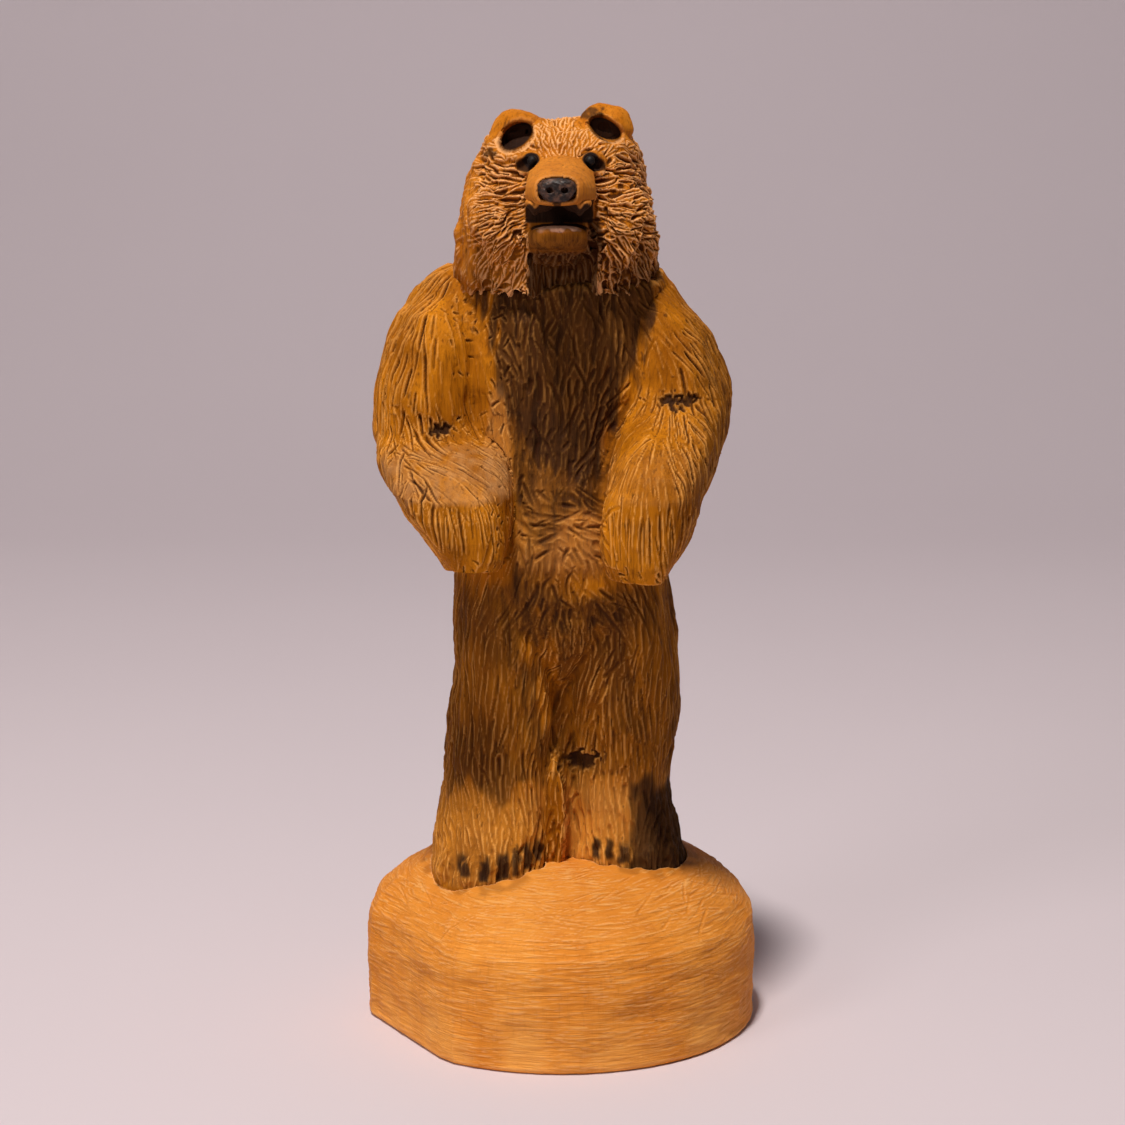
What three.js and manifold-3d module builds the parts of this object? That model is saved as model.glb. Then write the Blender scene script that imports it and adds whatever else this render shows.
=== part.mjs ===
// A standing bear carved in wood, on a domed round base, as a three.js scene in millimetres.
// +Z is up and the bear faces -Y, so its own right side is at -X. The origin is the centre of the base's underside.
// The figure is glued up from a base, a body, a head and a nose, with dowels across the joints and bead eyes.

import * as THREE from "three";
import { mergeVertices } from "three/addons/utils/BufferGeometryUtils.js";
import Module from "manifold-3d";

const wasm = await Module();
wasm.setup();

// Driving dimensions.
const GLUE_GAP = 0.3; // between any two pieces that touch
const BASE_RADIUS = 64.3; // of the log that the base is cut from
const BASE_WALL_TOP = 29.5; // where the straight wall turns into the dome
const BASE_TOP = 58; // crown of the dome
const BASE_EDGE = 1.2; // chamfer round the underside
const FLAT_DISTANCE = 58.4; // from the axis to the flat on the log
const FLAT_ANGLE = THREE.MathUtils.degToRad(210); // direction of the flat, from +X towards +Y
const SOLE_LEVEL = 49; // the feet are let into the dome down to this level
const NECK_LEVEL = 243; // the head is let into the shoulders down to this level
const FOOT_DOWEL = { radius: 4, bottom: 28, top: 82 };
const NECK_DOWEL = { radius: 5, bottom: 215, top: 268, y: 4 };
const EYE_RADIUS = 1.6;
const EYE_SHANK = { radius: 0.7, length: 7 };
const EYE_CENTRE = { x: 8.9, y: -25.6, z: 283.2 };
const NOSE = { x: -1.2, y: -49.4, z: 275.5, width: 11.6, height: 7.2, depth: 6.4 };
const EAR = { x: 14.4, y: -5, z: 291.2 };
const JAW_TOP = 263.8;

const COLOURS = {
  base: 0xd9974f,
  figure: 0xb56a1f,
  nose: 0x2c1a17,
  eye: 0x0a0808,
  dowel: 0xd8b98a,
};

// Solids and booleans.

function solid(geometry) {
  const bare = geometry.index ? geometry.toNonIndexed() : geometry.clone();
  bare.deleteAttribute("normal");
  bare.deleteAttribute("uv");
  const merged = mergeVertices(bare, 1e-4);
  return new wasm.Manifold(
    new wasm.Mesh({
      numProp: 3,
      vertProperties: merged.attributes.position.array,
      triVerts: new Uint32Array(merged.index.array),
    }),
  );
}

const join = (parts) => parts.reduce((whole, part) => whole.add(part));
const cut = (whole, parts) => parts.reduce((left, part) => left.subtract(part), whole);

function mesh(name, shape, colour, roughness) {
  const { numProp, vertProperties, triVerts } = shape.getMesh();
  const position = new Float32Array((vertProperties.length / numProp) * 3);
  for (let i = 0; i < position.length / 3; i++)
    position.set(vertProperties.subarray(i * numProp, i * numProp + 3), i * 3);
  const geometry = new THREE.BufferGeometry();
  geometry.setAttribute("position", new THREE.BufferAttribute(position, 3));
  geometry.setIndex(new THREE.BufferAttribute(new Uint32Array(triVerts), 1));
  geometry.computeVertexNormals();
  const material = new THREE.MeshStandardMaterial({ color: colour, roughness, metalness: 0 });
  const made = new THREE.Mesh(geometry, material);
  made.name = name;
  return made;
}

// A rounded body through a stack of cross-sections, made by laying a sphere's rings on them. Each section is
// [level, least x, most x, least y, y where it is widest, most y, squareness]; squareness 2 is an ellipse.
// The first and last sections close the ends as flat caps. grow moves every side out by that much.
function lofted(sections, around, rows, grow = 0) {
  const levels = sections.map((_, i) => i);
  const track = new THREE.CubicInterpolant(levels, sections.flat(), 7);
  const geometry = new THREE.SphereGeometry(1, around, rows + 2);
  const { position, uv } = geometry.attributes;
  const last = sections.length - 1;
  for (let i = 0; i < position.count; i++) {
    const row = Math.round((1 - uv.getY(i)) * (rows + 2));
    const ring = THREE.MathUtils.clamp(row - 1, 0, rows);
    const [level, x0, x1, y0, yMid, y1, power] = track.evaluate((ring / rows) * last);
    const pole = row === 0 || row === rows + 2;
    const angle = uv.getX(i) * 2 * Math.PI;
    const [c, s] = [Math.cos(angle), Math.sin(angle)];
    const out = (v, radius) => (pole ? 0 : Math.sign(v) * Math.abs(v) ** (2 / power) * (radius + grow));
    const x = (x0 + x1) / 2 + out(c, (x1 - x0) / 2);
    const y = yMid + out(s, s < 0 ? yMid - y0 : y1 - yMid);
    position.setXYZ(i, x, y, level);
  }
  // Sections are listed from the top down, which keeps the faces pointing out.
  return geometry;
}

const loft = (sections, around, rows, grow) => solid(lofted(sections, around, rows, grow));

// The same, pointing forwards: levels are distances towards -Y, and a section's y values are heights.
const forwardLoft = (sections, around, rows) =>
  solid(lofted(sections, around, rows).rotateX(Math.PI / 2));

function ellipsoid(radii, at, turn = [0, 0, 0], around = 16, rows = 10) {
  const geometry = new THREE.SphereGeometry(1, around, rows).scale(...radii);
  geometry.rotateX(turn[0]).rotateY(turn[1]).rotateZ(turn[2]);
  return solid(geometry.translate(...at));
}

function block(low, high) {
  const size = new THREE.Vector3(...high).sub(new THREE.Vector3(...low));
  const centre = new THREE.Vector3(...low).addScaledVector(size, 0.5);
  return solid(new THREE.BoxGeometry(...size).translate(...centre));
}

function rod(radius, from, to, sides = 24) {
  const [a, b] = [new THREE.Vector3(...from), new THREE.Vector3(...to)];
  const geometry = new THREE.CylinderGeometry(radius, radius, a.distanceTo(b), sides);
  const turn = new THREE.Quaternion().setFromUnitVectors(
    new THREE.Vector3(0, 1, 0),
    b.clone().sub(a).normalize(),
  );
  geometry.applyQuaternion(turn);
  return solid(geometry.translate(...a.add(b).multiplyScalar(0.5)));
}

// The base: a slice of a round log with one flat side and a domed top.
function baseBlock() {
  const profile = new THREE.Path();
  profile.moveTo(BASE_RADIUS - BASE_EDGE, 0);
  profile.lineTo(BASE_RADIUS, BASE_EDGE);
  profile.lineTo(BASE_RADIUS, BASE_WALL_TOP);
  profile.bezierCurveTo(BASE_RADIUS, 42, 53, 51, 40, BASE_TOP - 3.2);
  profile.bezierCurveTo(28, BASE_TOP - 0.2, 14, BASE_TOP, 0, BASE_TOP);
  const points = [new THREE.Vector2(0, 0), ...profile.getPoints(5)];
  const geometry = new THREE.LatheGeometry(points, 56).rotateX(Math.PI / 2);
  // The flat: each point past it is drawn in along its radius, in proportion, so that the dome follows the flat.
  const { position } = geometry.attributes;
  for (let i = 0; i < position.count; i++) {
    const [x, y] = [position.getX(i), position.getY(i)];
    const towards = Math.cos(Math.atan2(y, x) - FLAT_ANGLE);
    const reach = towards > 0 ? Math.min(1, FLAT_DISTANCE / BASE_RADIUS / towards) : 1;
    position.setXY(i, x * reach, y * reach);
  }
  return solid(geometry);
}

// Legs and feet. The bear's right foot is a step in front of its left one.
function legs(grow) {
  const right = [
    [182, -30, -6, -20, 2, 27, 2.2],
    [162, -34, 0, -26, 2, 33.4, 2.3],
    [140, -35.6, 1.5, -28.5, 0, 37, 2.4],
    [122, -34.8, 1.5, -27, 0, 34, 2.5],
    [104, -36.4, 1, -25.5, 0, 29, 2.6],
    [88, -38, 0, -25.5, 0, 26, 2.6],
    [76, -39.4, -1, -27, -2, 25, 2.5],
    [66, -40.6, -2, -31, -5, 26, 2.4],
    [58, -41.8, -3, -34, -5, 27, 2.3],
    [46, -43, -3, -35.5, -5, 28, 2.2],
  ];
  const left = [
    [182, 6, 30, -20, 2, 27, 2.2],
    [162, 0, 34, -26, 2, 33.4, 2.3],
    [140, -1.5, 36.4, -28, 0, 37, 2.4],
    [122, -1.5, 38, -25.5, 0, 34, 2.5],
    [104, -1, 38, -22.5, 0, 29, 2.6],
    [88, 0, 36.8, -20, 3, 26, 2.6],
    [77, 0.5, 35.6, -20, 3, 25, 2.6],
    [67, 1, 38.4, -21, 2, 26, 2.5],
    [58, 1.5, 40.8, -23, 0, 28, 2.4],
    [46, 1.5, 42.4, -24, 0, 29, 2.3],
  ];
  // The wood left between the legs, behind the groove that parts them.
  const web = [
    [150, -14, 14, -20, 4, 26, 2.2],
    [120, -12, 12, -19, 4, 24, 2.2],
    [90, -11, 11, -16, 4, 22, 2.2],
    [46, -12, 12, -17, 4, 24, 2.2],
  ];
  return [loft(right, 26, 14, grow), loft(left, 26, 14, grow), loft(web, 16, 4, grow)];
}

// Five low toes along the front of a foot, which is a superellipse from x0 to x1 that reaches forwards to y0.
function toes(x0, x1, y0, yMid, grow) {
  return [-0.74, -0.38, 0, 0.38, 0.74].map((share) => {
    const reach = (1 - Math.abs(share) ** 2.3) ** (1 / 2.3);
    const x = (x0 + x1) / 2 + (share * (x1 - x0)) / 2;
    const y = yMid - (yMid - y0) * reach + 3.4;
    return ellipsoid([3.7 + grow, 5 + grow, 8.4 + grow], [x, y, 55.5], [0.16, 0, 0], 10, 7);
  });
}

const rightToes = (grow) => toes(-41, -4, -34.2, -5, grow);
const leftToes = (grow) => toes(2.5, 40, -23.4, 0, grow);

function torso() {
  const sections = [
    [256, -24, 24, -14, 4, 26, 2.1],
    [248, -31, 30, -20, 4, 31, 2.1],
    [238, -41, 37, -24.5, 4, 34, 2.2],
    [222, -45, 41, -26.5, 2, 36, 2.3],
    [205, -44, 41, -26.5, 1, 35, 2.3],
    [190, -41, 39, -27.5, 0, 33, 2.3],
    [175, -38, 37, -31, 0, 32, 2.3],
    [158, -35.6, 35.5, -34, 0, 34, 2.3],
    [144, -34, 35, -33, 0, 35, 2.3],
    [134, -30, 31, -29.5, 0, 32, 2.2],
    [124, -20, 20, -25, 0, 26, 2.0],
    [114, -8, 8, -18, 0, 18, 2.0],
  ];
  return loft(sections, 28, 14);
}

// Upper arm, elbow, forearm and paw in one sweep; the forearm stands in front of the body.
function arms() {
  const right = [
    [247, -36, -22, -3, 4, 16, 2],
    [242.5, -42.4, -18, -12, 4, 22, 2.1],
    [236, -50.6, -18, -19, 3, 25, 2.2],
    [226, -56, -20, -24.5, 2, 27, 2.3],
    [214, -59.2, -22, -27.5, 1, 27, 2.3],
    [203, -60.4, -22, -29, 0, 26, 2.4],
    [197.5, -60.8, -20, -31, 0, 25, 2.5],
    [193, -60.2, -17, -38, -4, 24, 2.7],
    [187, -58.2, -16, -47, -10, 20, 2.8],
    [181, -56.2, -15.5, -53, -18, 14, 2.9],
    [172, -48.8, -15.5, -55, -26, 4, 3],
    [163, -39.8, -16, -54.5, -32, -8, 3],
    [157.5, -36.6, -17.5, -52, -34, -16, 2.8],
  ];
  const left = [
    [244, 22, 32, -3, 4, 16, 2],
    [240, 17, 38, -12, 4, 22, 2.1],
    [235, 17, 43.4, -18, 3, 25, 2.2],
    [227, 18, 48.4, -23.5, 2, 27, 2.3],
    [217, 18, 52.2, -27, 1, 27, 2.3],
    [209, 17, 54.4, -28.5, 0, 26, 2.4],
    [204, 15, 53.6, -34, 0, 25, 2.6],
    [196, 14, 51.8, -43, -5, 22, 2.8],
    [188, 13, 49.4, -50, -11, 17, 2.8],
    [181, 12.8, 46.6, -53.5, -18, 12, 2.9],
    [172, 12.8, 42.8, -54.5, -26, 3, 3],
    [162, 13, 38.2, -54, -31, -8, 3],
    [154.5, 15, 34, -51.5, -34, -16, 2.8],
  ];
  return [loft(right, 24, 16), loft(left, 24, 16)];
}

// The head: a skull inside a mane that hangs over both cheeks and stays open at the throat.
function skull(grow = 0) {
  const sections = [
    [294.6, -9, 9, -7, 2, 13, 2],
    [293, -17, 16.6, -13.5, 2, 19, 2.1],
    [291, -22.4, 21.4, -19.5, 2, 25, 2.3],
    [286, -25, 24.4, -24, 2, 28, 2.6],
    [279, -28.2, 27, -27, 2, 31, 2.8],
    [271, -31, 29.6, -29, 2, 33, 3],
    [262, -32.2, 30.6, -30, 2, 34, 3],
    [254, -33, 31.4, -29.5, 2, 35, 2.9],
    [247, -33.8, 31.2, -27.5, 3, 35.5, 2.7],
    [NECK_LEVEL - 4, -31, 29.6, -24, 4, 35, 2.5],
  ];
  return loft(sections, 32, 14, grow);
}

// The fullest part of the mane, at the front of each cheek.
const cheeks = (grow = 0) =>
  [-1, 1].map((side) => {
    const radii = [8.4, 9, 14].map((radius) => radius + grow);
    return ellipsoid(radii, [side * 19.4 - 0.6, -23.4, 262], [0.04, side * 0.2, side * 0.35], 16, 11);
  });

function muzzle() {
  return forwardLoft(
    [
      [50, -6, 3.6, 271.6, 275, 278.2, 2.4],
      [48.8, -8.2, 5.8, 270.4, 274.8, 279.4, 2.5],
      [45, -10.2, 8.6, 269.8, 274.2, 280.6, 2.4],
      [39, -11, 10.2, 269.4, 273.6, 281.8, 2.2],
      [31, -12, 11.8, 268.4, 273, 283.6, 2],
      [23, -13.4, 13.4, 266, 273, 285.6, 2],
      [14, -14, 14, 262, 273, 287, 2],
    ],
    26,
    10,
  );
}

// The upper lip hangs a little on either side of the nose.
const lips = () =>
  [-1, 1].map((side) =>
    ellipsoid([4.2, 7.5, 3.2], [side * 5.4 - 0.8, -40.4, 270.6], [0, 0, side * 0.28], 14, 9),
  );

function jaw() {
  return forwardLoft(
    [
      [43, -6.8, 4.6, 259.8, 261.6, JAW_TOP - 0.6, 2.3],
      [41.2, -9, 7.2, 257.4, 261, JAW_TOP, 2.6],
      [35, -10.2, 8.8, 254.6, 260, JAW_TOP, 2.7],
      [27, -11, 10.2, 251.6, 259, JAW_TOP, 2.6],
      [18, -11.6, 11.4, 249, 257, JAW_TOP, 2.4],
    ],
    22,
    7,
  );
}

// The hollow at the throat, between the two sides of the mane.
function throat() {
  const sections = [
    [262, -9.4, 10.4, -48, -34, -21, 3],
    [250, -10, 11.2, -48, -34, -19.5, 3],
    [NECK_LEVEL - 4, -10.6, 11.6, -48, -34, -19, 3],
  ];
  return loft(sections, 20, 3);
}

function ears() {
  return [-1, 1].map((side) => {
    const lift = side < 0 ? -1.4 : 0;
    const at = [side * EAR.x - 0.2, EAR.y, EAR.z + lift];
    return ellipsoid([8.8, 5.4, 8.6], at, [-0.2, side * 0.35, side * 0.3], 18, 12);
  });
}

const earHollows = () =>
  [-1, 1].map((side) => {
    const lift = side < 0 ? -1.4 : 0;
    const at = [side * (EAR.x - 0.6) - 0.2, EAR.y - 5, EAR.z + lift + 1.4];
    return ellipsoid([5.6, 4.6, 3.8], at, [0, side * 0.5, side * 0.3], 14, 9);
  });

const eyeSockets = () =>
  [-1, 1].map((side) => {
    const at = [side * (EYE_CENTRE.x + 1.5), EYE_CENTRE.y - 0.4, EYE_CENTRE.z - 0.5];
    return ellipsoid([4, 2.6, 2.7], at, [0, side * 0.5, side * 0.4], 14, 9);
  });

// The flat-bottomed seat that the head needs between the shoulders.
const neckSeat = () =>
  cut(join([skull(GLUE_GAP), ...cheeks(GLUE_GAP)]), [
    block([-80, -80, NECK_LEVEL - 30], [80, 80, NECK_LEVEL]),
  ]);

const FOOT_AT = [
  ["right_foot_dowel", -21, -8],
  ["left_foot_dowel", 21, -2],
];

const footDowel = (x, y, grow) =>
  rod(FOOT_DOWEL.radius + grow, [x, y, FOOT_DOWEL.bottom - grow], [x, y, FOOT_DOWEL.top + grow]);

const neckDowel = (grow) =>
  rod(
    NECK_DOWEL.radius + grow,
    [0, NECK_DOWEL.y, NECK_DOWEL.bottom - grow],
    [0, NECK_DOWEL.y, NECK_DOWEL.top + grow],
  );

const footHoles = () => FOOT_AT.map(([, x, y]) => footDowel(x, y, GLUE_GAP));

// Bead eyes on shanks, and the nose.

function eye(side, grow) {
  const [x, y, z] = [side * EYE_CENTRE.x, EYE_CENTRE.y, EYE_CENTRE.z];
  const bead = ellipsoid([1, 1, 1].map(() => EYE_RADIUS + grow), [x, y, z], [0, 0, 0], 14, 9);
  return bead.add(
    rod(EYE_SHANK.radius + grow, [x, y, z], [x, y + EYE_SHANK.length + grow, z], 10),
  );
}

function nosePad(grow) {
  const { x, z } = NOSE;
  const front = -NOSE.y + NOSE.depth / 2 + grow;
  const back = -NOSE.y - NOSE.depth / 2 - grow;
  const [w, h] = [NOSE.width / 2 + grow, NOSE.height / 2 + grow];
  return forwardLoft(
    [
      [front, x - w * 0.5, x + w * 0.5, z - h * 0.5, z, z + h * 0.55, 2.4],
      [front - 0.5, x - w * 0.8, x + w * 0.8, z - h * 0.8, z, z + h * 0.85, 2.7],
      [front - 2.2, x - w, x + w, z - h, z, z + h, 3],
      [back, x - w, x + w, z - h, z, z + h, 3],
    ],
    22,
    6,
  );
}

function nose() {
  const nostrils = [-1, 1].map((side) =>
    ellipsoid([1.2, 2.4, 1], [NOSE.x + side * 2.3, NOSE.y - NOSE.depth / 2, NOSE.z + 0.2], [0, 0, 0], 12, 8),
  );
  return cut(nosePad(0), nostrils);
}

// Assembly.

function body() {
  const carved = join([torso(), ...arms(), ...legs(0), ...rightToes(0), ...leftToes(0)]);
  return cut(carved, [
    block([-90, -90, 0], [90, 90, SOLE_LEVEL + GLUE_GAP]),
    neckSeat(),
    neckDowel(GLUE_GAP),
    ...footHoles(),
  ]);
}

function base() {
  const seats = cut(join([...legs(GLUE_GAP), ...rightToes(GLUE_GAP), ...leftToes(GLUE_GAP)]), [
    block([-90, -90, 0], [90, 90, SOLE_LEVEL]),
  ]);
  return cut(baseBlock(), [seats, ...footHoles()]);
}

function head() {
  const mane = cut(join([skull(), ...cheeks()]), [throat()]);
  const whole = join([mane, muzzle(), ...lips(), jaw(), ...ears()]);
  return cut(whole, [
    ...eyeSockets(),
    ...earHollows(),
    eye(-1, GLUE_GAP),
    eye(1, GLUE_GAP),
    nosePad(GLUE_GAP),
    block([-90, -90, 0], [90, 90, NECK_LEVEL + GLUE_GAP]),
    neckDowel(GLUE_GAP),
  ]);
}

const figurine = new THREE.Group();
figurine.name = "carved_bear";
figurine.add(mesh("base", base(), COLOURS.base, 0.6));
figurine.add(mesh("body", body(), COLOURS.figure, 0.55));
figurine.add(mesh("head", head(), COLOURS.figure, 0.55));
figurine.add(mesh("nose", nose(), COLOURS.nose, 0.35));
figurine.add(mesh("right_eye", eye(-1, 0), COLOURS.eye, 0.1));
figurine.add(mesh("left_eye", eye(1, 0), COLOURS.eye, 0.1));
figurine.add(mesh("neck_dowel", neckDowel(0), COLOURS.dowel, 0.7));
for (const [name, x, y] of FOOT_AT) figurine.add(mesh(name, footDowel(x, y, 0), COLOURS.dowel, 0.7));

export default figurine;
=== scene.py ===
"""A standing bear carved in wood on a domed round base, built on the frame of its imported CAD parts.

The base, body and head are remeshed finely from their CAD nodes, softened, and then cut stroke by stroke
with a gouge along the lie of the fur. Shapes are in millimetres. Camera, lights and backdrop, and the
distances in the materials, are in metres.
"""

import bmesh
import bpy
import numpy as np
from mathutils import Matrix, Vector


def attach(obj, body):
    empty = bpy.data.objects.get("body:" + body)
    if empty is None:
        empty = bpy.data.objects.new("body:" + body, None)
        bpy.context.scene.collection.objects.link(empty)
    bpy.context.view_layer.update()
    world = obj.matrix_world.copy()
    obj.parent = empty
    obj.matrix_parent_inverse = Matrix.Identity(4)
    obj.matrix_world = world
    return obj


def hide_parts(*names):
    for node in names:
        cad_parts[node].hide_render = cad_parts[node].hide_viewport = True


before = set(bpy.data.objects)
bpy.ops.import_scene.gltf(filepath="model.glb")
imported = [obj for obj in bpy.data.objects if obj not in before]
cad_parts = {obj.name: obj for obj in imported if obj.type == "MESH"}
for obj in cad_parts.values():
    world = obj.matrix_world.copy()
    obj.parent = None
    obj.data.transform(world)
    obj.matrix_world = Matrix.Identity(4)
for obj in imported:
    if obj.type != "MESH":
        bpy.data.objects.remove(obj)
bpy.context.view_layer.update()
scene = bpy.context.scene
MM = 0.001
COARSE = 1.0

# CAD corners nearer than this, in metres, are one corner.
WELD = 1e-6

# Finest detail of each remeshed piece.
BASE_VOXEL = 0.46 * COARSE
BODY_VOXEL = 0.4 * COARSE
HEAD_VOXEL = 0.32 * COARSE
NOSE_VOXEL = 0.16 * COARSE

EYES = [(-8.9, -25.6, 283.2), (8.9, -25.6, 283.2)]
NOSE_CENTRE = (-1.2, -49.4, 275.5)
FACE_CENTRE = np.array([0.0, -36.0, 276.0])


# Camera and light.

# Name, place, target, width, watts and colour.
LAMPS = (
    ("key", (-0.15, -0.56, 1.72), (0, 0, 0.16), 0.2, 29, (1.0, 0.955, 0.9)),
    ("fill", (-1.1, -1.2, 0.9), (0, 0, 0.15), 0.6, 6, (1.0, 0.93, 0.92)),
    ("wall_light", (0, 0.6, 1.6), (0, 1.8, 0.9), 1.2, 3.2, (1.0, 0.93, 0.95)),
)


def look_at(obj, target):
    obj.rotation_euler = (Vector(target) - obj.location).to_track_quat("-Z", "Y").to_euler()


def add_camera():
    data = bpy.data.cameras.new("camera")
    data.sensor_width = 36
    data.lens = 94.9
    data.shift_x = 0.0013
    data.clip_start = 0.05
    camera = bpy.data.objects.new("camera", data)
    camera.location = (0, -0.95, 0.33)
    look_at(camera, (0, 0, 0.152))
    scene.collection.objects.link(camera)
    scene.camera = camera


def add_area(name, location, target, size, watts, colour):
    data = bpy.data.lights.new(name, "AREA")
    data.shape = "DISK"
    data.size = size
    data.energy = watts
    data.color = colour
    lamp = bpy.data.objects.new(name, data)
    lamp.location = location
    look_at(lamp, target)
    scene.collection.objects.link(lamp)


def add_world():
    world = bpy.data.worlds.new("studio")
    world.use_nodes = True
    background = world.node_tree.nodes["Background"]
    background.inputs["Color"].default_value = (0.93, 0.86, 0.88, 1)
    background.inputs["Strength"].default_value = 0.1
    scene.world = world


# Shader helpers.


class Shader:
    """A material's node tree, with short calls to add nodes and links."""

    def __init__(self, name):
        self.material = bpy.data.materials.new(name)
        self.material.use_nodes = True
        self.tree = self.material.node_tree
        self.surface = self.tree.nodes["Principled BSDF"]

    def node(self, kind, **settings):
        made = self.tree.nodes.new("ShaderNode" + kind)
        for key, value in settings.items():
            setattr(made, key, value)
        return made

    def join(self, value, socket):
        if isinstance(value, bpy.types.NodeSocket):
            self.tree.links.new(value, socket)
        else:
            socket.default_value = value

    def attribute(self, name):
        return self.node("Attribute", attribute_name=name).outputs["Fac"]

    def position(self, scale, turn=(0, 0, 0)):
        coordinates = self.node("TexCoord").outputs["Object"]
        mapping = self.node("Mapping")
        self.join(coordinates, mapping.inputs["Vector"])
        mapping.inputs["Scale"].default_value = scale
        mapping.inputs["Rotation"].default_value = turn
        return mapping.outputs["Vector"]

    def noise(self, vector, scale, detail=3.0, roughness=0.55, distortion=0.0):
        made = self.node("TexNoise")
        self.join(vector, made.inputs["Vector"])
        made.inputs["Scale"].default_value = scale
        made.inputs["Detail"].default_value = detail
        made.inputs["Roughness"].default_value = roughness
        made.inputs["Distortion"].default_value = distortion
        return made.outputs["Fac"]

    def spread(self, value, low, high, to_low=0.0, to_high=1.0):
        made = self.node("MapRange")
        self.join(value, made.inputs["Value"])
        for name, number in zip(("From Min", "From Max", "To Min", "To Max"), (low, high, to_low, to_high)):
            made.inputs[name].default_value = number
        return made.outputs["Result"]

    def math(self, operation, a, b):
        made = self.node("Math", operation=operation)
        self.join(a, made.inputs[0])
        self.join(b, made.inputs[1])
        return made.outputs[0]

    def mix(self, factor, a, b):
        made = self.node("Mix", data_type="RGBA")
        self.join(factor, made.inputs[0])
        self.join(a, made.inputs[6])
        self.join(b, made.inputs[7])
        return made.outputs[2]

    def glaze(self, colour, mask, strength, paint):
        """Paint over a colour where the mask lies, at the given strength."""
        return self.mix(self.math("MULTIPLY", mask, strength), colour, paint)

    def bump(self, height, distance, strength, under=None):
        made = self.node("Bump")
        self.join(height, made.inputs["Height"])
        made.inputs["Distance"].default_value = distance
        made.inputs["Strength"].default_value = strength
        if under is not None:
            self.join(under, made.inputs["Normal"])
        return made.outputs["Normal"]

    def finish(self, colour, roughness, normal=None, **constants):
        self.join(colour, self.surface.inputs["Base Color"])
        self.join(roughness, self.surface.inputs["Roughness"])
        if normal is not None:
            self.join(normal, self.surface.inputs["Normal"])
        for name, value in constants.items():
            self.surface.inputs[name.replace("_", " ")].default_value = value
        return self.material


# Colours laid over the carved wood. The stain, char and cut floor colours also paint shade and shadow.
FIBRE = (0.12, 0.032, 0.002, 1)
STAIN_AND_SHADE = (0.045, 0.018, 0.007, 1)
STAIN_STREAK = (0.022, 0.008, 0.003, 1)
CUT_FLOOR = (0.05, 0.012, 0.002, 1)
PIT = (0.05, 0.014, 0.004, 1)
CHAR_AND_SHADE = (0.013, 0.007, 0.006, 1)

# Colours of the sanded base. The facet edge colour is a painted highlight, the facet floor colour a painted
# shade, and the base's stain colour also paints shade on its top.
SANDED_LIGHT = (0.86, 0.325, 0.046, 1)
SANDED_DARK = (0.78, 0.262, 0.028, 1)
SANDED_GROWTH = (0.6, 0.17, 0.016, 1)
SANDED_FIBRE = (0.5, 0.14, 0.014, 1)
SCRATCH = (0.96, 0.48, 0.14, 1)
SCORE = (0.42, 0.12, 0.014, 1)
FACET_EDGE = (0.95, 0.5, 0.2, 1)
FACET_FLOOR = (0.34, 0.09, 0.01, 1)
WORN = (0.96, 0.44, 0.1, 1)
SANDED_STAIN_AND_SHADE = (0.13, 0.036, 0.008, 1)


def carved_wood(name, light, dark, bare_and_highlight, dry_and_highlight, hollow):
    """Stained wood: fibre along the log, blotches, dark patches of staining and painted shade, pale ridges
    of uncoloured wood with a painted highlight, cut floors darkened by staining and painted shade, and
    charred zones that also carry painted shade and shadow.

    light and dark are the wood itself. The third colour is that of the ridges, uncoloured wood with a
    painted highlight, the fourth that of pale patches, partly pale wood and partly a painted highlight, and
    hollow how strongly the floors of the cuts are darkened, by staining and painted shade.
    """
    s = Shader(name)
    fibre = s.noise(s.position((1, 1, 0.05)), 1100, 4, 0.65)
    growth = s.noise(s.position((1, 1, 0.08)), 170, 3, 0.55, 0.6)
    blotch = s.noise(s.position((1, 1, 0.5)), 55, 4, 0.62)
    speckle = s.noise(s.position((1, 1, 1)), 1500, 2, 0.6)
    pit = s.noise(s.position((1, 1, 0.35)), 520, 2, 0.5)
    colour = s.mix(s.spread(blotch, 0.36, 0.62), light, dark)
    colour = s.glaze(colour, s.spread(growth, 0.45, 0.68), 0.6, dark)
    colour = s.glaze(colour, s.spread(fibre, 0.5, 0.68), 0.6, FIBRE)
    # Ridges: uncoloured wood with a painted highlight.
    colour = s.glaze(colour, s.attribute("ridge"), 0.72, bare_and_highlight)
    # Stain, with painted shade and shadow in it as well.
    colour = s.glaze(colour, s.attribute("stain_and_shade"), 0.9, STAIN_AND_SHADE)
    streak = s.noise(s.position((1, 1, 0.06)), 380, 4, 0.72)
    stain_streak = s.math("MULTIPLY", s.spread(streak, 0.48, 0.62), s.attribute("stain_and_shade"))
    colour = s.glaze(colour, stain_streak, 0.75, STAIN_STREAK)
    # Pale patches, partly pale wood and partly a painted highlight.
    colour = s.glaze(colour, s.attribute("dry_and_highlight"), 0.65, dry_and_highlight)
    # Cut floors: staining and painted shade.
    colour = s.glaze(colour, s.attribute("hollow"), hollow, CUT_FLOOR)
    colour = s.glaze(colour, s.spread(pit, 0.66, 0.74), 0.6, PIT)
    # Char, with painted shade and shadow in it as well.
    colour = s.mix(s.attribute("char_and_shade"), colour, CHAR_AND_SHADE)
    roughness = s.spread(speckle, 0.3, 0.7, 0.5, 0.7)
    normal = s.bump(fibre, 0.0006, 0.8)
    normal = s.bump(speckle, 0.0001, 0.4, normal)
    return s.finish(colour, roughness, normal, Specular_IOR_Level=0.05)


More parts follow.
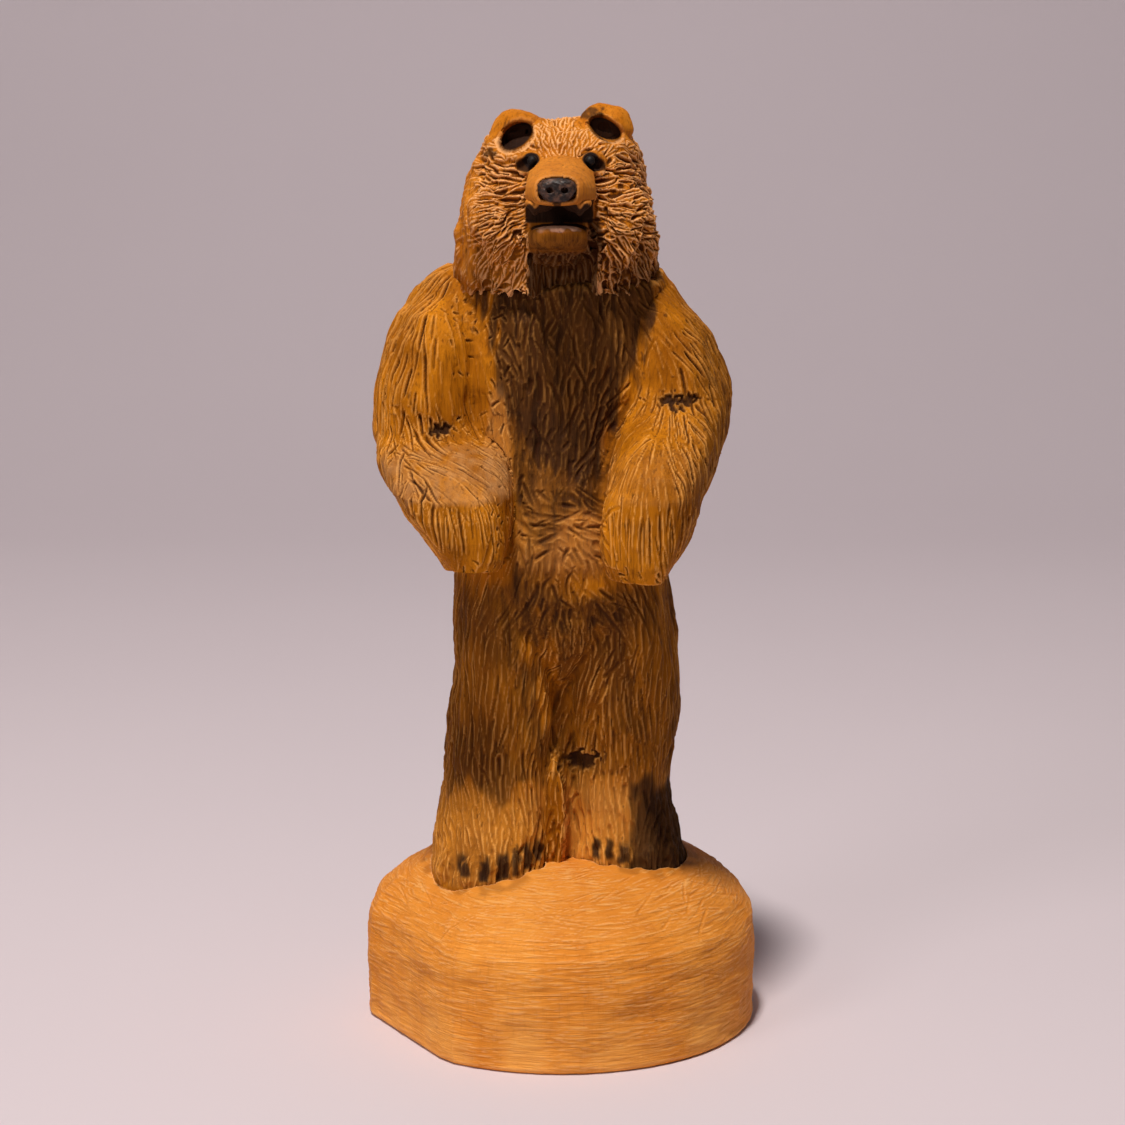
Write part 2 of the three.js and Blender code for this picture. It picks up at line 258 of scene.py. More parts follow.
def sanded_wood(name):
    """The base: paler wood with faint upright growth bands and fine broken scratches round it."""
    s = Shader(name)
    growth = s.noise(s.position((1, 1, 0.06)), 120, 4, 0.6, 0.5)
    bands = s.noise(s.position((1, 1, 0.25)), 42, 3, 0.55, 0.4)
    fibre = s.noise(s.position((1, 1, 0.12)), 900, 3, 0.65)
    scratch = s.noise(s.position((0.05, 0.05, 1), (0.02, 0.03, 0)), 1900, 3, 0.65, 0.3)
    score = s.noise(s.position((0.05, 0.05, 1), (-0.05, 0.04, 0)), 1400, 3, 0.6, 0.4)
    colour = s.mix(s.spread(bands, 0.4, 0.66), SANDED_LIGHT, SANDED_DARK)
    colour = s.glaze(colour, s.spread(growth, 0.5, 0.7), 0.3, SANDED_GROWTH)
    colour = s.glaze(colour, s.spread(fibre, 0.55, 0.75), 0.3, SANDED_FIBRE)
    colour = s.glaze(colour, s.spread(scratch, 0.57, 0.61), 0.55, SCRATCH)
    colour = s.glaze(colour, s.spread(score, 0.6, 0.65), 0.3, SCORE)
    # Painted highlight on the facet edges and painted shade in the facet floors.
    colour = s.glaze(colour, s.attribute("ridge"), 0.6, FACET_EDGE)
    colour = s.glaze(colour, s.attribute("hollow"), 0.36, FACET_FLOOR)
    colour = s.glaze(colour, s.attribute("pale"), 0.55, WORN)
    # Darker and mottled round the feet, and painted shade where the base faces up.
    colour = s.mix(s.attribute("stain_and_shade"), colour, SANDED_STAIN_AND_SHADE)
    roughness = s.spread(scratch, 0.3, 0.7, 0.5, 0.68)
    normal = s.bump(scratch, 0.0004, 0.8)
    normal = s.bump(score, 0.0004, 0.5, normal)
    return s.finish(colour, roughness, normal, Specular_IOR_Level=0.06)


def painted_nose(name):
    s = Shader(name)
    grain = s.noise(s.position((1, 1, 1)), 1400, 3, 0.6)
    wear = s.noise(s.position((1, 1, 1)), 420, 3, 0.6)
    colour = s.mix(s.spread(wear, 0.46, 0.66), (0.014, 0.007, 0.005, 1), (0.14, 0.065, 0.038, 1))
    roughness = s.spread(grain, 0.3, 0.7, 0.42, 0.6)
    return s.finish(colour, roughness, s.bump(grain, 0.0002, 0.6), Specular_IOR_Level=0.35)


def polished_bead(name):
    s = Shader(name)
    haze = s.noise(s.position((1, 1, 1)), 700, 2, 0.5)
    colour = s.mix(haze, (0.004, 0.003, 0.003, 1), (0.012, 0.009, 0.008, 1))
    return s.finish(colour, s.spread(haze, 0.3, 0.7, 0.45, 0.6), Specular_IOR_Level=0.2)


def bare_dowel(name):
    s = Shader(name)
    fibre = s.noise(s.position((1, 1, 0.08)), 700, 3, 0.6)
    colour = s.mix(fibre, (0.62, 0.42, 0.22, 1), (0.78, 0.6, 0.38, 1))
    return s.finish(colour, 0.75, s.bump(fibre, 0.0001, 0.5))


# Working on a fine mesh as arrays.


def smoothstep(value, low, high):
    t = np.clip((value - low) / (high - low), 0, 1)
    return t * t * (3 - 2 * t)


def unit(vectors):
    return vectors / np.maximum(np.linalg.norm(vectors, axis=-1, keepdims=True), 1e-9)


def inside(points, centre, radii, soft=0.35):
    """1 inside an ellipsoid, falling to 0 over the soft share of its radius outside it."""
    distance = np.linalg.norm((points - np.array(centre)) / np.array(radii), axis=1)
    return 1 - smoothstep(distance, 1, 1 + soft)


def inside_any(points, ellipsoids, soft):
    """The same for several ellipsoids, each given by its centre and radii."""
    return np.maximum.reduce([inside(points, centre, radii, soft) for centre, radii in ellipsoids])


class Waves:
    """A smooth random field over space, from a few sine waves."""

    def __init__(self, wavelength, seed, count=14):
        rng = np.random.default_rng(seed)
        directions = unit(rng.normal(size=(count, 3)))
        lengths = wavelength * rng.uniform(0.6, 1.7, size=(count, 1))
        self.waves = directions * 2 * np.pi / lengths
        self.phases = rng.uniform(0, 2 * np.pi, count)

    def __call__(self, points):
        return np.sin(points @ self.waves.T + self.phases).sum(1) / np.sqrt(len(self.phases) / 2)


def one_band(middle, way):
    """For a piece on which no two faces that share a direction lie over each other."""
    return np.zeros(len(way), int)


class Sheet:
    """The skin of one piece: a fine closed mesh whose points are moved as arrays."""

    def __init__(self, node, name, voxel):
        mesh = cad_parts[node].data.copy()
        welded = bmesh.new()
        welded.from_mesh(mesh)
        bmesh.ops.remove_doubles(welded, verts=welded.verts, dist=WELD)
        welded.to_mesh(mesh)
        welded.free()
        rough = bpy.data.objects.new(name + "_rough", mesh)
        scene.collection.objects.link(rough)
        remesh = rough.modifiers.new("voxels", "REMESH")
        remesh.mode = "VOXEL"
        remesh.voxel_size = voxel * MM
        graph = bpy.context.evaluated_depsgraph_get()
        self.mesh = bpy.data.meshes.new_from_object(rough.evaluated_get(graph))
        bpy.data.objects.remove(rough)
        self.mesh.name = name
        self.mesh.materials.clear()
        self.node, self.name, self.voxel = node, name, voxel
        self.points = self.read("vertices", "co", 3) / MM
        self.edges = self.read("edges", "vertices", 2).astype(int)
        self.links = np.bincount(self.edges.ravel(), minlength=len(self.points))
        self.layers = {}

    def read(self, part, field, width):
        items = getattr(self.mesh, part)
        values = np.empty(len(items) * width, np.int32 if field == "vertices" else np.float32)
        items.foreach_get(field, values)
        return values.reshape(-1, width).astype(np.int64 if field == "vertices" else float)

    def write(self):
        self.mesh.vertices.foreach_set("co", (self.points * MM).astype(np.float32).ravel())
        self.mesh.update()

    def normals(self):
        self.write()
        values = np.empty(len(self.points) * 3, np.float32)
        self.mesh.vertex_normals.foreach_get("vector", values)
        return values.reshape(-1, 3).astype(float)

    def averaged(self, values):
        """Each point's value replaced by the mean of its neighbours' values."""
        a, b = self.edges.T
        total = np.empty_like(values)
        count = len(values)
        for i in range(values.shape[1]):
            total[:, i] = np.bincount(a, values[b, i], count) + np.bincount(b, values[a, i], count)
        return total / np.maximum(self.links, 1)[:, None]

    def soften(self, rounds, weight=1.0):
        """Rounds of smoothing that keep the volume; weight may vary from point to point."""
        weight = np.broadcast_to(np.asarray(weight, float), len(self.points))[:, None]
        for _ in range(rounds):
            for step in (0.6, -0.61):
                self.points += weight * step * (self.averaged(self.points) - self.points)

    def blur(self, values, rounds):
        for _ in range(rounds):
            values = 0.4 * values + 0.6 * self.averaged(values[:, None])[:, 0]
        return values

    def layer(self, name, values):
        self.layers[name] = np.clip(values, 0, 1)

    def relief(self, depth, low, high):
        """Layers for the floors of the deeper cuts, darkened by staining and painted shade, and for the
        ridges, lightened as uncoloured wood with a painted highlight, from the way the skin bends.
        """
        bend = ((self.averaged(self.points) - self.points) * self.normals()).sum(1) / self.voxel ** 2
        bend = self.blur(bend, 1)
        self.layer("hollow", smoothstep(bend, low, high) * smoothstep(self.blur(depth, 1), 0.2, 1.0))
        self.layer("ridge", smoothstep(-bend, low, high))

    def unwrap(self, bands):
        """Lays the faces out flat by the way they face, so that a texture can be made for the piece.

        bands says which faces that share a direction lie over each other and need room of their own.
        """
        corners = self.read("loops", "vertex_index", 1)[:, 0].astype(int)
        sizes = self.read("polygons", "loop_total", 1)[:, 0].astype(int)
        face_of_corner = np.repeat(np.arange(len(sizes)), sizes)
        at = self.points[corners]
        middle = np.stack([np.bincount(face_of_corner, at[:, i]) for i in range(3)], 1) / sizes[:, None]
        smooth = self.normals()[corners]
        facing = np.stack([np.bincount(face_of_corner, smooth[:, i]) for i in range(3)], 1)
        way = np.abs(facing).argmax(1)
        sign = np.take_along_axis(facing, way[:, None], 1)[:, 0] > 0
        chart = (way * 2 + sign) * 8 + bands(middle, way)
        chart_of_corner = chart[face_of_corner]
        flat = np.where((way == 0)[face_of_corner, None], at[:, [1, 2]], at[:, [0, 2]])
        flat = np.where((way == 2)[face_of_corner, None], at[:, [0, 1]], flat)
        pieces = []
        for key in np.unique(chart):
            chosen = chart_of_corner == key
            low, high = flat[chosen].min(0), flat[chosen].max(0)
            pieces.append((high[1] - low[1], high[0] - low[0], key, low, chosen))
        pieces.sort(key=lambda piece: -piece[0])
        gap = 1.5
        slack = 1.12
        area = sum((height + gap) * (width + gap) for height, width, *_ in pieces)
        side = max(np.sqrt(area) * slack, max(width for _, width, *_ in pieces) + 2 * gap)
        uv = np.empty((len(corners), 2))
        x, y, row = gap, gap, 0.0
        for height, width, key, low, chosen in pieces:
            if x + width + gap > side:
                x, y, row = gap, y + row + gap, 0.0
            uv[chosen] = flat[chosen] - low + [x, y]
            x += width + gap
            row = max(row, height)
        uv /= max(side, y + row + gap)
        store = self.mesh.uv_layers.new(name="OFBake")
        store.uv.foreach_set("vector", uv.astype(np.float32).ravel())

    def done(self, material):
        """Writes the mesh and its layers, and puts the piece in place of its CAD node."""
        self.write()
        for name, values in self.layers.items():
            store = self.mesh.attributes.new(name, "FLOAT", "POINT")
            store.data.foreach_set("value", values.astype(np.float32))
        self.mesh.polygons.foreach_set("use_smooth", np.ones(len(self.mesh.polygons), bool))
        self.mesh.materials.append(material)
        piece = bpy.data.objects.new(self.name, self.mesh)
        scene.collection.objects.link(piece)
        place(piece, self.node)


def place(piece, node):
    """Puts a piece in a CAD node's place: hangs it under the root and hides the node."""
    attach(piece, "root")
    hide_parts(node)


# Gouge cuts.

# A cell's neighbours in a grid of space, and the cell itself.
AROUND = [(i, j, k) for i in (-1, 0, 1) for j in (-1, 0, 1) for k in (-1, 0, 1)]


class Gouge:
    """Cuts strokes into a sheet. Where strokes cross, the deepest one counts, which leaves sharp ridges.

    ways, set before the first cut, gives the direction of the fur at every point.
    CELL is the grid by which nearby points are found. SLOPE, REACH and SHARE keep a stroke from cutting
    skin that faces another way or lies well above or below it.
    """

    CELL = 3.0
    SLOPE, REACH, SHARE = 0.15, 3, 0.2

    def __init__(self, sheet, rng):
        self.sheet, self.rng = sheet, rng
        self.points = sheet.points.copy()
        self.normals = sheet.normals()
        self.depth = np.zeros(len(self.points))
        keys = np.floor(self.points / self.CELL).astype(int)
        order = np.lexsort(keys.T)
        ordered = keys[order]
        starts = np.flatnonzero(np.any(np.diff(ordered, axis=0) != 0, axis=1)) + 1
        starts = np.concatenate([[0], starts])
        ends = np.append(starts[1:], len(order))
        self.cells = {tuple(ordered[a]): order[a:b] for a, b in zip(starts, ends)}

    def near(self, path, reach):
        wanted = set()
        low = np.floor((path - reach) / self.CELL).astype(int)
        high = np.floor((path + reach) / self.CELL).astype(int)
        for (x0, y0, z0), (x1, y1, z1) in zip(low, high):
            for x in range(x0, x1 + 1):
                for y in range(y0, y1 + 1):
                    for z in range(z0, z1 + 1):
                        wanted.add((x, y, z))
        found = [self.cells[key] for key in wanted if key in self.cells]
        return np.concatenate(found) if found else np.empty(0, int)

    def seeds(self, weight, spacing, stretch, pool):
        """Start points for strokes, spread evenly.

        weight is each point's chance, spacing the distance apart across the fur, stretch how much further
        apart they are up and down than across, and pool how many points are tried for each such cell.
        """
        weight = np.maximum(weight, 0) + 1e-9
        space = self.points / [spacing, spacing, spacing * stretch]
        cell_area = self.sheet.voxel ** 2
        wanted = int(len(space) * cell_area / (spacing ** 2 * stretch) * pool)
        chance = weight / weight.sum()
        live = np.count_nonzero(weight > 0.01)
        candidates = self.rng.choice(len(space), min(wanted, live), replace=False, p=chance)
        kept, taken = [], {}
        for index in candidates:
            x, y, z = space[index]
            i, j, k = int(x // 1), int(y // 1), int(z // 1)
            if all(
                (a - x) ** 2 + (b - y) ** 2 + (c - z) ** 2 >= 1
                for di, dj, dk in AROUND
                for a, b, c in taken.get((i + di, j + dj, k + dk), ())
            ):
                taken.setdefault((i, j, k), []).append((x, y, z))
                kept.append(index)
        return np.array(kept, int)

    def cut(self, index, way, length, width, depth, bend, tool):
        """One stroke centred on a point. It goes in steeply at its start and runs out slowly.

        tool is 1 for a V tool's cut, 2 for a gouge's and 4 for a flat chisel's.
        """
        centre, normal = self.points[index], self.normals[index]
        along = way - normal * (way @ normal)
        along = along / max(np.linalg.norm(along), 1e-9)
        across = np.cross(normal, along)
        half = length / 2
        steps = np.linspace(-half, half, max(2, int(length / self.CELL) + 2))
        path = centre + steps[:, None] * along + (bend * steps ** 2)[:, None] * across
        found = self.near(path, width / 2 + 1.0)
        if not len(found):
            return
        offset = self.points[found] - centre
        s = offset @ along
        t = offset @ across - bend * s ** 2
        h = offset @ normal
        u, w = s / half, np.abs(t) / (width / 2)
        facing = self.normals[found] @ normal
        keep = (np.abs(u) < 1) & (w < 1)
        keep &= (facing > self.SLOPE) & (np.abs(h) < self.REACH + length * self.SHARE)
        found, u, w = found[keep], u[keep], w[keep]
        entry = np.clip((1 - np.abs(u)) * 2.4, 0, 1) ** 0.7 * (1 - 0.25 * u)
        section = 1 - w ** tool
        self.depth[found] = np.maximum(self.depth[found], depth * entry * section)

    def carve(self, weight, apart, length, width, depth, turn, bend, tool, pool=26):
        """Strokes spread over the points by their weight, each a little different.

        apart is the spacing and stretch of the seeds. length, width and depth are ranges. turn is the
        spread of angles in radians, and bend that of the curvature.
        """
        rng = self.rng
        for index in self.seeds(weight, *apart, pool):
            way = self.ways[index]
            angle = rng.normal(0, turn)
            side = np.cross(self.normals[index], way)
            way = way * np.cos(angle) + side * np.sin(angle)
            size = rng.uniform(*length), rng.uniform(*width), rng.uniform(*depth)
            self.cut(index, way, *size, rng.normal(0, bend), tool)

    def sink(self, lift, weight=1.0):
        """Moves the sheet's points in by the cuts, and lifts the ridges so that it keeps its size."""
        mean = self.depth[self.depth > 0].mean() if np.any(self.depth > 0) else 0
        self.sheet.points = self.points - self.normals * (weight * (self.depth - lift * mean))[:, None]


def along_skin(ways, normals):
    """Directions laid onto the skin."""
    return unit(ways - normals * (ways * normals).sum(1)[:, None])


# The base.

# Where the feet stand: centre and radii.
UNDER_FEET = (((-22, -6, 52), (23, 34, 12)), ((22, 0, 52), (23, 30, 12)))
# Where the base is darker and mottled round the feet.
ROUND_FEET = (((-22, -6, 53), (23.5, 34.5, 7)), ((22, 0, 53), (22.5, 30, 7)))


def make_base():
    rng = np.random.default_rng(11)
    sheet = Sheet("base", "carved_base", BASE_VOXEL)
    feet = inside_any(sheet.points, UNDER_FEET, 0.1)
    sheet.soften(int(14 / COARSE), 1 - feet)
    x, y, z = sheet.points.T
    normals = sheet.normals()
    outside = smoothstep(z, 0.8, 3) * (normals[:, 2] > -0.4) * (1 - feet)
    # Long shallow facets that the shaping of the log left.
    waver = 0.22 * Waves(24, 3)(sheet.points * [1, 1, 1.6]) + 0.12 * Waves(9, 4)(sheet.points)
    sheet.points += normals * (waver * outside)[:, None]
    gouge = Gouge(sheet, rng)
    x, y, z = gouge.points.T
    round_axis = np.stack([-y, x, 0.05 * np.hypot(x, y) * Waves(60, 12)(gouge.points)], 1)
    gouge.ways = along_skin(round_axis, gouge.normals)
    wall = outside * smoothstep(z, 2, 5)
    gouge.carve(wall, (3.0, 0.7), (8, 34), (0.9, 1.6), (0.08, 0.28), turn=0.13, bend=0.003, tool=1.0)
    crown = outside * smoothstep(z, 44, 50)
    gouge.carve(crown, (2.8, 2.0), (9, 28), (0.9, 1.8), (0.15, 0.42), turn=0.3, bend=0.01, tool=1.2)
    gouge.sink(lift=0.2, weight=1 - feet)
    sheet.relief(gouge.depth * 3, 0.03, 0.25)
    # Round the feet the base is darker and mottled; where it faces up it is darker too, partly end grain
    # and partly painted shade on the top.
    near_feet = inside_any(gouge.points, ROUND_FEET, 0.1)
    mottled = 0.3 * near_feet * smoothstep(Waves(7, 13)(gouge.points), -1, 1)
    sheet.layer("stain_and_shade", mottled + 0.17 * smoothstep(gouge.normals[:, 2], 0.4, 0.95))
    uneven = 0.6 + 0.4 * Waves(14, 14)(gouge.points * [1, 1, 0.3])
    sheet.layer("pale", (1 - smoothstep(z, 5, 24)) * uneven)
    sheet.unwrap(one_band)
    sheet.done(sanded_wood("base_wood"))


# The body.

# Where each arm's inner edge lies against the chest: levels, and the place across at each.
RIGHT_ARM_EDGE = ((150, 158, 172, 184, 193, 203, 240), (-16, -15, -14.5, -14.5, -18, -22, -24))
LEFT_ARM_EDGE = ((150, 158, 172, 184, 196, 209, 240), (15, 12.6, 12.4, 12.6, 13.5, 17.5, 21))
# The dark chest, from its tip up to the throat: stain, with the head's shadow painted over it, whose
# outline these edges follow.
CHEST_LEVELS = (176, 182, 189, 201, 212, 223, 238, 250)
CHEST_RIGHT = (9, 5, -4.5, -14, -19.5, -22, -23.5, -24)
CHEST_LEFT = (2, 8, 11.5, 15.5, 20, 25, 29.5, 31)
# Claws: place across, width, lowest and highest level.
CLAWS = (
    (-31.4, 5.0, 55.5, 62.5),
    (-24.6, 4.0, 54.5, 62.5),
    (-18.8, 3.8, 55.0, 64.0),
    (-14.4, 3.4, 56.0, 64.5),
    (-10.6, 3.8, 57.0, 65.0),
    (-7.4, 2.8, 58.5, 66.0),
    (11.2, 2.8, 58.5, 65.5),
    (15.6, 3.4, 58.0, 65.5),
    (20.6, 4.4, 57.0, 64.5),
    (26.4, 4.2, 56.5, 64.0),
    (31.6, 3.6, 56.0, 62.5),
)
# The knot hole between the shins and the gash in each armpit: centre and radii.
HOLES = (
    ((5.9, -24, 90), (4.6, 9, 3.0)),
    ((-38.0, -27, 199.6), (2.8, 8, 1.1)),
    ((37.4, -26, 209.2), (4.8, 8, 1.1)),
)
# Patches on the right leg kept out of the painted shade of the legs: centre and radii.
BRIGHT = (((-9.5, -30, 141), (4, 12, 15)), ((-4, -28, 116), (3, 10, 14)))
# Where the grain tore out: centre, radii and strength.
TEARS = (
    ((-38.0, -27, 199.2), (5.5, 8, 1.8), 0.5),
    ((35.8, -26, 208.4), (8.5, 8, 1.8), 0.5),
    ((-20, -30, 206), (3.0, 12, 22), 0.5),
    ((-17, -38, 174), (2.6, 14, 10), 0.5),
    ((24, -50, 156), (12, 8, 2.2), 0.5),
    ((-26, -50, 160), (11, 8, 1.6), 0.4),
    ((-31, -16, 229), (4, 12, 9), 0.6),
)
# Cuts between the knuckles of each forepaw: places across from first to last, and top and bottom levels.
KNUCKLES = ((-43.5, -18.5, 180, 162), (14.5, 41, 178, 158))
KNUCKLE_PITCH = 3.3


def body_zones(points, normals):
    """How far each point belongs to the arms, the dark chest and the belly."""
    x, y, z = points.T
    right_edge = np.interp(z, *RIGHT_ARM_EDGE)
    left_edge = np.interp(z, *LEFT_ARM_EDGE)
    arm = np.maximum(smoothstep(right_edge - x, -1.5, 1.5), smoothstep(x - left_edge, -1.5, 1.5))
    arm *= smoothstep(z, 148, 153) * (1 - smoothstep(y, -2, 8) * (1 - smoothstep(z, 165, 188)))
    front = smoothstep(-normals[:, 1], -0.1, 0.35) * (y < 2)
    ragged = 1.8 * Waves(4.5, 24)(points * [1, 1, 0.25])
    chest = smoothstep(x + ragged - np.interp(z, CHEST_LEVELS, CHEST_RIGHT), -2, 2)
    chest *= smoothstep(np.interp(z, CHEST_LEVELS, CHEST_LEFT) - x + ragged, -2, 2)
    chest *= smoothstep(z, 174, 180) * smoothstep(-y, 4, 12)
    belly = (1 - arm) * front * (1 - chest) * (1 - smoothstep(z, 200, 212))
    off_middle = np.abs(x - 2)
    belly *= smoothstep(z + 0.9 * off_middle + 2 * ragged, 136, 150) * (1 - smoothstep(off_middle, 16, 19))
    return arm, chest, belly


def body_flow(points, normals):
    """Which way the strokes run: down, parted at the shoulders, forearms, chest and belly."""
    x, y, z = points.T
    down = np.zeros_like(points)
    down[:, 2] = -1
    side = np.sign(x)
    shoulder = smoothstep(z, 205, 240) * smoothstep(np.abs(x), 16, 26)
    front = y < 0
    forearm = (1 - smoothstep(z, 192, 200)) * smoothstep(z, 155, 161)
    forearm = forearm * smoothstep(np.abs(x), 14, 20) * front
    upward = smoothstep(normals[:, 2], 0.2, 0.5)
    down[:, 0] = side * np.where(x > 0, 0.7, 0.14) * shoulder
    down[:, 0] += forearm * np.where(x > 0, 0.1 * (x - 26) / 12, 0.12 + 0.6 * upward)
    chest = smoothstep(z, 190, 205) * (1 - smoothstep(np.abs(x), 18, 28)) * front
    down[:, 0] -= 0.018 * x * chest
    belly = smoothstep(z, 160, 168) * (1 - smoothstep(z, 172, 182))
    belly = belly * (1 - smoothstep(np.abs(x - 1), 11, 15)) * front
    down += belly[:, None] * [2.2, 0, 0.7]
    lap = (1 - smoothstep(z, 158, 166)) * smoothstep(z, 128, 136) * front
    down[:, 0] += 0.06 * np.clip(x - 2, -9, 9) * lap
    foot = 1 - smoothstep(z, 62, 84)
    down[:, 1] -= 0.6 * foot
    down[:, 0] += 0.14 * Waves(30, 21)(points) * (1 - smoothstep(z, 120, 150))
    down[:, 0] += 0.12 * Waves(40, 22)(points)
    return along_skin(down, normals)


def claw_zone(points, normals):
    """How far each point belongs to a claw, which is only a ragged dark mark on the foot."""
    x, y, z = points.T
    zone = np.zeros(len(points))
    ragged = 0.3 * Waves(4, 26)(points)
    for spot, width, low, high in CLAWS:
        across = 1 - smoothstep(np.abs(x + ragged - spot) / (width / 2), 0.55, 1.1)
        along = smoothstep(z + ragged, low - 0.8, low + 0.8)
        along *= 1 - smoothstep(z + 2 * ragged, high - 2.5, high + 1)
        zone = np.maximum(zone, across * along)
    return zone * smoothstep(-normals[:, 1], 0.0, 0.3) * (y < 6)


def make_body():
    rng = np.random.default_rng(23)
    sheet = Sheet("body", "carved_body", BODY_VOXEL)
    x, y, z = sheet.points.T
    above = smoothstep(z, 51, 56)
    sheet.soften(int(40 / COARSE), above)
    # The wood was roughed out by hand, so no form is quite regular.
    normals = sheet.normals()
    lumps = (0.35 + 0.3 * smoothstep(z, 150, 170)) * Waves(24, 5)(sheet.points * [1, 1, 0.6])
    lumps += 0.25 * Waves(9, 6)(sheet.points * [1, 1, 0.5])
    # The feet run into the base without a gap, and the shoulders into the mane.
    x, y, z = sheet.points.T
    close = 0.5 * smoothstep(z, 47, 50) * (1 - smoothstep(z, 54, 57))
    close += 1.4 * smoothstep(z, 236, 243) * smoothstep(45 - np.hypot(x, y - 4), 0, 9)
    valley = inside(sheet.points, (-2, -16, 71), (3.2, 16, 17), 0.5)
    sheet.points[:, 1] -= valley * np.clip(y + 23.5, 0, 12)
    sheet.points += normals * (lumps * above + close)[:, None]
    sheet.soften(int(4 / COARSE), valley)
    gouge = Gouge(sheet, rng)
    points, normals = gouge.points, gouge.normals
    x, y, z = points.T
    gouge.ways = body_flow(points, normals)
    arm, chest, belly = body_zones(points, normals)
    neck = np.hypot(x, y - 2) < 36
    fur = smoothstep(z, 50, 53) * (1 - neck * smoothstep(z, 240, 243))
    legs = fur * (1 - smoothstep(z, 138, 152)) * (1 - belly)
    shins = legs * (1 - smoothstep(z, 76, 92))
    upper = fur * smoothstep(z, 138, 152) * (1 - belly)
    plain = arm * smoothstep(z, 158, 166) * (1 - smoothstep(z, 175, 179)) * (y < -30)
    forearm = arm * smoothstep(z, 171, 177) * (1 - smoothstep(z, 196, 204)) * smoothstep(-y, 18, 28)
    left = arm * (x > 0) * smoothstep(z, 158, 164) * (1 - smoothstep(z, 200, 208)) * smoothstep(-y, 18, 28)
    forearm = np.maximum(forearm, left)

    # Long flat facets of uneven depth, which meet in thin edges, then narrow cuts low on the arms.
    coat = upper * (1 - chest)
    gouge.carve(coat, (2.2, 5.0), (14, 36), (1.8, 4.2), (0.08, 0.7), turn=0.06, bend=0.002, tool=4.0)
    low_coat = coat * (1 - plain) * (1 - smoothstep(z, 185, 215))
    gouge.carve(low_coat, (4.6, 3.4), (8, 26), (0.7, 1.1), (0.25, 0.7), turn=0.07, bend=0.003, tool=1.2)
    # The back, the forearms, the arms' outer sides and the smoother strip above the right knuckles.
    back = upper * (1 - arm) * smoothstep(y, -2, 8)
    gouge.carve(back, (2.6, 3.2), (8, 22), (1.6, 3.0), (0.4, 1.3), turn=0.12, bend=0.008, tool=1.8)
    gouge.carve(forearm, (2.6, 4.0), (9, 26), (0.9, 1.8), (0.4, 1.05), turn=0.07, bend=0.006, tool=1.2)
    flank = upper * arm * smoothstep(np.abs(x), 38, 47) * (1 - 0.85 * smoothstep(z, 194, 210))
    gouge.carve(flank, (3.2, 2.6), (7, 18), (1.1, 2.4), (0.9, 2.0), turn=0.12, bend=0.006, tool=1.4)
    right = plain * (x < 0)
    gouge.carve(right, (4.0, 3.0), (10, 20), (1.2, 2.4), (0.3, 0.8), turn=0.05, bend=0.002, tool=1.8)
    # The cuts between the knuckles stand side by side, each from the foremost point of its column.
    for first, last, top, bottom in KNUCKLES:
        for spot in np.arange(first, last, KNUCKLE_PITCH):
            spot, level = spot + rng.uniform(-0.5, 0.5), (top + bottom) / 2 + rng.uniform(-1, 1)
            column = np.flatnonzero(np.hypot(x - spot, z - level) < 0.7)
            front = column[y[column].argmin()]
            width, depth = rng.uniform(1.2, 1.9), rng.uniform(0.8, 1.3)
            gouge.cut(front, gouge.ways[front], top - bottom, width, depth, bend=0.0, tool=1.4)
    # The chest, the belly, the legs and the shins.
    gouge.carve(chest, (2.2, 2.0), (5, 14), (1.3, 2.6), (0.3, 0.9), turn=0.3, bend=0.02, tool=1.8)
    gouge.carve(belly, (2.8, 1.1), (5, 14), (1.6, 3.4), (0.3, 1.05), turn=0.32, bend=0.03, tool=1.8)
    gouge.carve(belly, (4.6, 1.1), (4, 10), (0.9, 1.4), (0.35, 0.85), turn=0.55, bend=0.03, tool=1.2)
    thighs = legs * (1 - shins)
    gouge.carve(thighs, (2.0, 4.0), (8, 26), (1.5, 3.0), (0.25, 0.9), turn=0.1, bend=0.006, tool=1.8)
    gouge.carve(thighs, (3.0, 4.0), (5, 20), (0.7, 1.1), (0.5, 1.2), turn=0.08, bend=0.006, tool=1.2)
    gouge.carve(shins, (1.9, 2.8), (8, 17), (1.7, 2.9), (0.4, 1.1), turn=0.14, bend=0.016, tool=1.8)
    # Where the grain tore out, short splinter marks lie across it.
    torn = np.maximum.reduce([force * inside(points, centre, radii, 0.8) for centre, radii, force in TEARS])
    fur_depth = gouge.depth.copy()
    scatter = np.minimum(torn, 0.6) * smoothstep(Waves(7, 61)(points), -0.6, 0.6)
    gouge.carve(
        scatter, (2.4, 1.0), (1.2, 5.0), (0.8, 1.8), (0.3, 1.2), turn=0.9, bend=0.12, tool=1.4, pool=10
    )
    splinters = np.clip(gouge.depth - fur_depth, 0, 1) * smoothstep(torn, 0.02, 0.3)
    # The holes have bitten edges.
    bent = 0.8 * Waves(3.5, 63)(points * [1, 0.4, 1]) + 0.4 * Waves(1.8, 65)(points * [1, 0.4, 1])
    holes = inside_any(points + bent[:, None], HOLES, 0.8)
    gouge.depth = np.maximum(gouge.depth, 1.6 * holes)
    gouge.sink(lift=0.3, weight=smoothstep(z, 50, 53))
